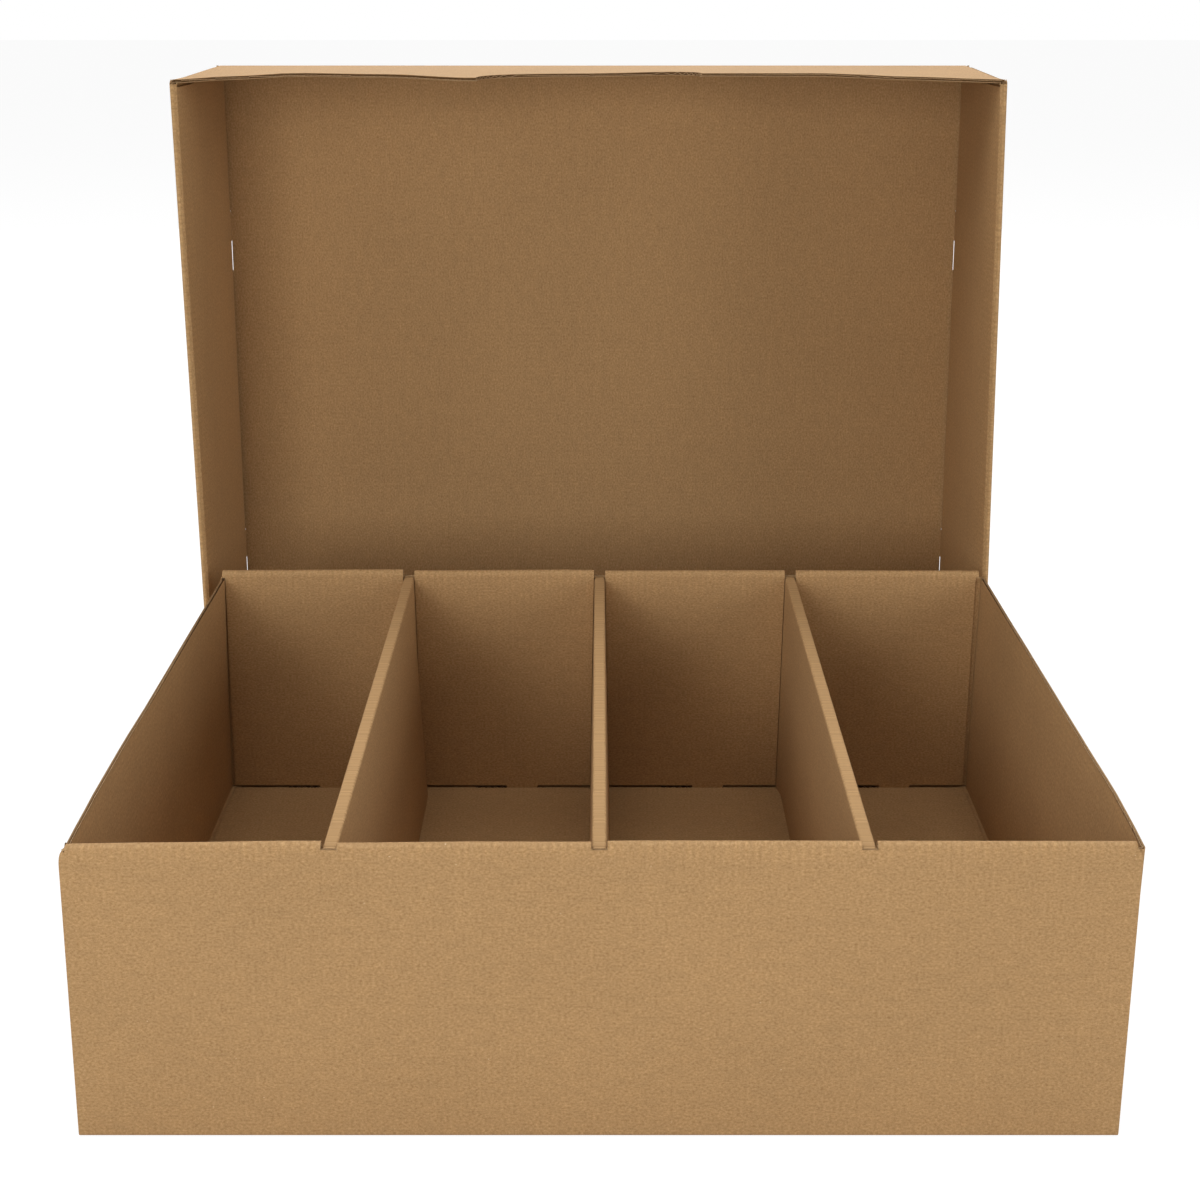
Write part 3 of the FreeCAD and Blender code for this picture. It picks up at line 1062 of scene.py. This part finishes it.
# %% Fold the lid and stand it up
def fold_lid():
    """The lid, folded lying down and then turned to stand behind the tray."""
    width, length, depth = lid_size.z, lid_size.x, lid_size.y
    lid = strip_of_sheet("folded_lid", width, length, depth, [], 2)
    die_cut(width, length, depth, [], 2)
    single_walls(width, length, depth)
    cut_thumb_notch(width, depth)
    raise_beads(width, length)
    crush_roll(length, depth, -1.0, LID_ROLL, ROLL_SLOPE)
    crush_roll(length, depth, 1.0, LID_ROLL, ROLL_SLOPE)
    bow_wall(width, length, depth, 1.0, UPPER_WALL_BOW)
    bow_wall(width, length, depth, -1.0, LOWER_WALL_BOW)
    pinch_roll(length, depth, -1.0, ROLL_PINCH)
    pinch_roll(length, depth, 1.0, ROLL_PINCH)

    def on_upper_end(co):
        return near(co.x, width / 2.0) and abs(co.y) > length / 2.0 - BOARD

    move(on_upper_end, lambda co: (-SHORT_END, 0.0, 0.0))
    bpy.ops.object.mode_set(mode="OBJECT")
    map_pressed_and_highlight(lid, depth - FOLD, WALL_PRESSED_AND_HIGHLIGHT)

    def flutes(co, centre):
        return flute_place(co, centre, width, length, depth)

    thicken(lid, flutes, lid_paper)
    middle = (lid_low + lid_high) / 2.0
    lid.matrix_world = Matrix((
        (0.0, -1.0, 0.0, middle.x),
        (0.0, 0.0, -1.0, lid_high.y),
        (1.0, 0.0, 0.0, middle.z),
        (0.0, 0.0, 0.0, 1.0),
    ))
    bpy.ops.object.transform_apply(location=True, rotation=True, scale=True)
    bpy.ops.object.mode_set(mode="EDIT")
    share = RIM_LEAN / lid_size.y

    def lean(co):
        return (-share * (co.z - LEAN_START) * (lid_high.y - co.y), 0.0, 0.0)

    move(lambda co: True, lean)
    bpy.ops.object.mode_set(mode="OBJECT")
    finish_piece(lid, "lid")


fold_lid()

# %% [markdown]
# ## Dividers
#
# A divider is one strip folded over its top. The board is crushed along both creases, so the top
# is flat with tight corners. Its two legs spring apart towards the floor, and not evenly: the left
# one's inner leg bows out between the walls, and the right one's hangs straight.

# %% A divider's sizes
DIVIDER = 4.8 * MM
CREASE = 0.9 * MM
CREASED_BOARD = 0.8 * MM
EXTRA_SPLAY = {
    "divider_left": (0.0, 3.2 * MM),
    "divider_middle": (0.2 * MM, 0.3 * MM),
    "divider_right": (-1.5 * MM, 0.3 * MM),
}
END_ROW = 4.0 * MM
DIVIDER_SPACING = 10.0 * MM
CREASE_ROW = 1.2 * MM
DIVIDER_PRESSED_AND_HIGHLIGHT = 3.0 * MM
HELD_END = 3.5 * MM
FREE_LENGTH = 12.0 * MM

# %% Fold the dividers
def fold_divider(name):
    """One divider, from the bottom of its right leg over the top to the bottom of its left leg."""
    low, high = (Vector(corner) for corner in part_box(name))
    place = (low.x + high.x) / 2.0
    top = high.z - CREASE
    height = top - low.z
    face = DIVIDER / 2.0
    length = high.y - low.y
    bpy.ops.object.select_all(action="DESELECT")
    middle = (place + face, 0.0, low.z + height / 2.0)
    bpy.ops.mesh.primitive_plane_add(size=1.0, location=middle, rotation=(0.0, math.pi / 2.0, 0.0))
    strip = bpy.context.object
    strip.name = "folded_" + name
    strip.scale = (height, length, 1.0)
    bpy.ops.object.transform_apply(location=True, rotation=True, scale=True)
    bpy.ops.object.mode_set(mode="EDIT")
    ends = [low.y, low.y + END_ROW, high.y - END_ROW, high.y]
    for stop in filled(ends, DIVIDER_SPACING)[1:-1]:
        cut((0.0, stop, 0.0), (0.0, 1.0, 0.0))
    stops = [CREASE_ROW] + even_stops(height, COLUMN_SPACING)
    for stop in stops[:-1]:
        cut((0.0, 0.0, top - stop), (0.0, 0.0, 1.0))
    pick(lambda co: near(co.z, top))
    fold((place + face - CREASE, 0.0, top), (0.0, -1.0, 0.0))
    run((-1.0, 0.0, 0.0), [DIVIDER - 2.0 * CREASE])
    fold((place - face + CREASE, 0.0, top), (0.0, -1.0, 0.0))
    run((0.0, 0.0, -1.0), stops)
    bpy.ops.mesh.select_all(action="SELECT")
    bpy.ops.mesh.remove_doubles(threshold=NEAR / 2.0)
    bpy.ops.mesh.normals_make_consistent(inside=False)

    def shift(co):
        side = math.copysign(1.0, co.x - place)
        extra = EXTRA_SPLAY[name][1 if side > 0.0 else 0]
        free = min(1.0, max(0.0, (high.y - abs(co.y) - HELD_END) / FREE_LENGTH))
        down = (top - co.z) / height
        bow = extra * free * free * (3.0 - 2.0 * free)
        return (side * down * (SPLAY + bow), 0.0, 0.0)

    move(lambda co: co.z < top - NEAR, shift)
    bpy.ops.object.mode_set(mode="OBJECT")

    def flutes(co, centre):
        return (co.y, math.copysign(high.z - co.z, centre.x - place))

    crushed = strip.vertex_groups.new(name="board")
    for vertex in strip.data.vertices:
        creased = vertex.co.z > top - NEAR
        crushed.add([vertex.index], CREASED_BOARD / BOARD if creased else 1.0, "REPLACE")
    map_pressed_and_highlight(strip, top, DIVIDER_PRESSED_AND_HIGHLIGHT)
    thicken(strip, flutes, divider_paper)
    finish_piece(strip, name)


for divider in DIVIDERS:
    fold_divider(divider)

# %% [markdown]
# ## Floor, light and camera
#
# The box stands on a plain white floor that fades into a white background. Large soft lamps stand
# round it. The one in front hangs low, so its light passes over the front wall, reaches the upper
# part of the back panels and leaves the compartments' floors dark. The one over the back lights
# every face that looks up, and the standing lid keeps it out of the compartments. Only what the
# camera sees of the floor is brightened, so the box keeps its shade and a faint shadow at its
# foot.

# %% The white floor
FLOOR_SEEN = 0.82
FLOOR_GLOW = 1.14


def seen_directly(tree):
    """1 for the rays that see the white: from the camera, in a sheen or through film."""
    path = add(tree, "ShaderNodeLightPath").outputs
    either = {0: path["Is Camera Ray"], 1: path["Is Glossy Ray"]}
    either = add(tree, "ShaderNodeMath", either, operation="MAXIMUM")
    either = {0: either, 1: path["Is Transmission Ray"]}
    return add(tree, "ShaderNodeMath", either, operation="MAXIMUM")


def white_floor():
    """A white floor that the camera sees as mostly plain white, with a little of its shadow."""
    material, tree, output = new_material("white_studio_floor")
    matt = add(tree, "ShaderNodeBsdfDiffuse", {"Color": (0.85, 0.85, 0.85, 1.0)})
    glow = add(tree, "ShaderNodeEmission", {"Color": (1.0, 1.0, 1.0, 1.0), "Strength": FLOOR_GLOW})
    seen = {0: seen_directly(tree), 1: FLOOR_SEEN}
    seen = add(tree, "ShaderNodeMath", seen, operation="MULTIPLY")
    mixed = add(tree, "ShaderNodeMixShader", {0: seen, 1: matt, 2: glow})
    tree.links.new(mixed.outputs[0], output.inputs[0])
    return material


bpy.ops.object.select_all(action="DESELECT")
bpy.ops.mesh.primitive_plane_add(size=12.0, location=(0.0, 2.0, -0.0002))
floor = bpy.context.object
floor.name = "studio_floor"
bpy.ops.object.transform_apply(location=True, rotation=True, scale=True)
floor.data.materials.append(white_floor())
floor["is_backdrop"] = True

# %% [markdown]
# The world is white to the camera and only a weak fill for the box. Left at full strength it
# would light every fold alike, and the compartments would lose their depth.

# %% The white world
STUDIO_FILL = 0.15

world = bpy.data.worlds.new("white_studio")
bpy.context.scene.world = world
world.use_nodes = True
world.node_tree.nodes.clear()
sky_level = add(world.node_tree, "ShaderNodeMapRange", {
    "Value": seen_directly(world.node_tree), "To Min": STUDIO_FILL, "To Max": 1.0,
})
sky = {"Color": (1.0, 1.0, 1.0, 1.0), "Strength": sky_level}
sky = add(world.node_tree, "ShaderNodeBackground", sky)
add(world.node_tree, "ShaderNodeOutputWorld", {0: sky})

# %% [markdown]
# A photographer's softboxes are large and near, so their shadows have soft borders. Each lamp is
# placed by its azimuth and elevation as seen from the box, at one distance for all.

# %% Lamps
LAMP_SIZE = 1.2
LAMP_DISTANCE = 2.2
BOX_MIDDLE = Vector((0.0, 0.05, 0.13))


def soft_lamp(name, azimuth, elevation, power, size=LAMP_SIZE):
    """A large square lamp that points at the box. Azimuth 0 is in front, 90 is at the right."""
    data = bpy.data.lights.new(name, "AREA")
    data.size = size
    data.energy = power
    lamp = bpy.data.objects.new(name, data)
    turn = math.radians(azimuth)
    rise = math.radians(elevation)
    level = math.cos(rise)
    way = Vector((math.sin(turn) * level, -math.cos(turn) * level, math.sin(rise)))
    lamp.location = BOX_MIDDLE + way * LAMP_DISTANCE
    lamp.rotation_euler = (-way).to_track_quat("-Z", "Y").to_euler()
    bpy.context.collection.objects.link(lamp)


soft_lamp("lamp_front", -15.0, 10.0, 14.6, 0.8)
soft_lamp("lamp_front_right", 60.0, 16.0, 11.2)
soft_lamp("lamp_left", -70.0, 38.0, 9.5)
soft_lamp("lamp_above", 0.0, 72.0, 8.4)
soft_lamp("lamp_over_the_back", 180.0, 60.0, 31.0)
soft_lamp("lamp_back", 180.0, 8.0, 14.0)
print(len(bpy.data.lights), "lamps")

# %% [markdown]
# The photograph's camera stood a little above the box and close to it. Its height, pitch and lens
# come from a fit to the corners of the tray and of the lid.

# %% The camera, at the photograph's angle
CAMERA_SIDE = 0.0002
CAMERA_BACK = 0.685
CAMERA_HEIGHT = 0.3994
CAMERA_PITCH = 16.69
CAMERA_LENS = 66.86

view = bpy.data.cameras.new("camera")
view.lens = CAMERA_LENS
view.sensor_width = 36.0
view.clip_end = 30.0
camera = bpy.data.objects.new("camera", view)
camera.location = (CAMERA_SIDE, tray_low.y - CAMERA_BACK, CAMERA_HEIGHT)
camera.rotation_euler = (math.radians(90.0 - CAMERA_PITCH), 0.0, 0.0)
bpy.context.collection.objects.link(camera)
bpy.context.scene.camera = camera
bpy.context.scene.view_settings.view_transform = "Standard"

# %% [markdown]
# Last, the sizes of the finished sheets are printed; those of the imported solids were printed at
# the start. The bows and the lean reach 2.8 mm past the solids at most.

# %% Print the finished sizes
bounds = {"cad": cad_bounds, "visual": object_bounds()}
bounds = {name: [list(corner) for corner in corners] for name, corners in bounds.items()}
print("visual, metres:", [[round(value, 4) for value in corner] for corner in bounds["visual"]])
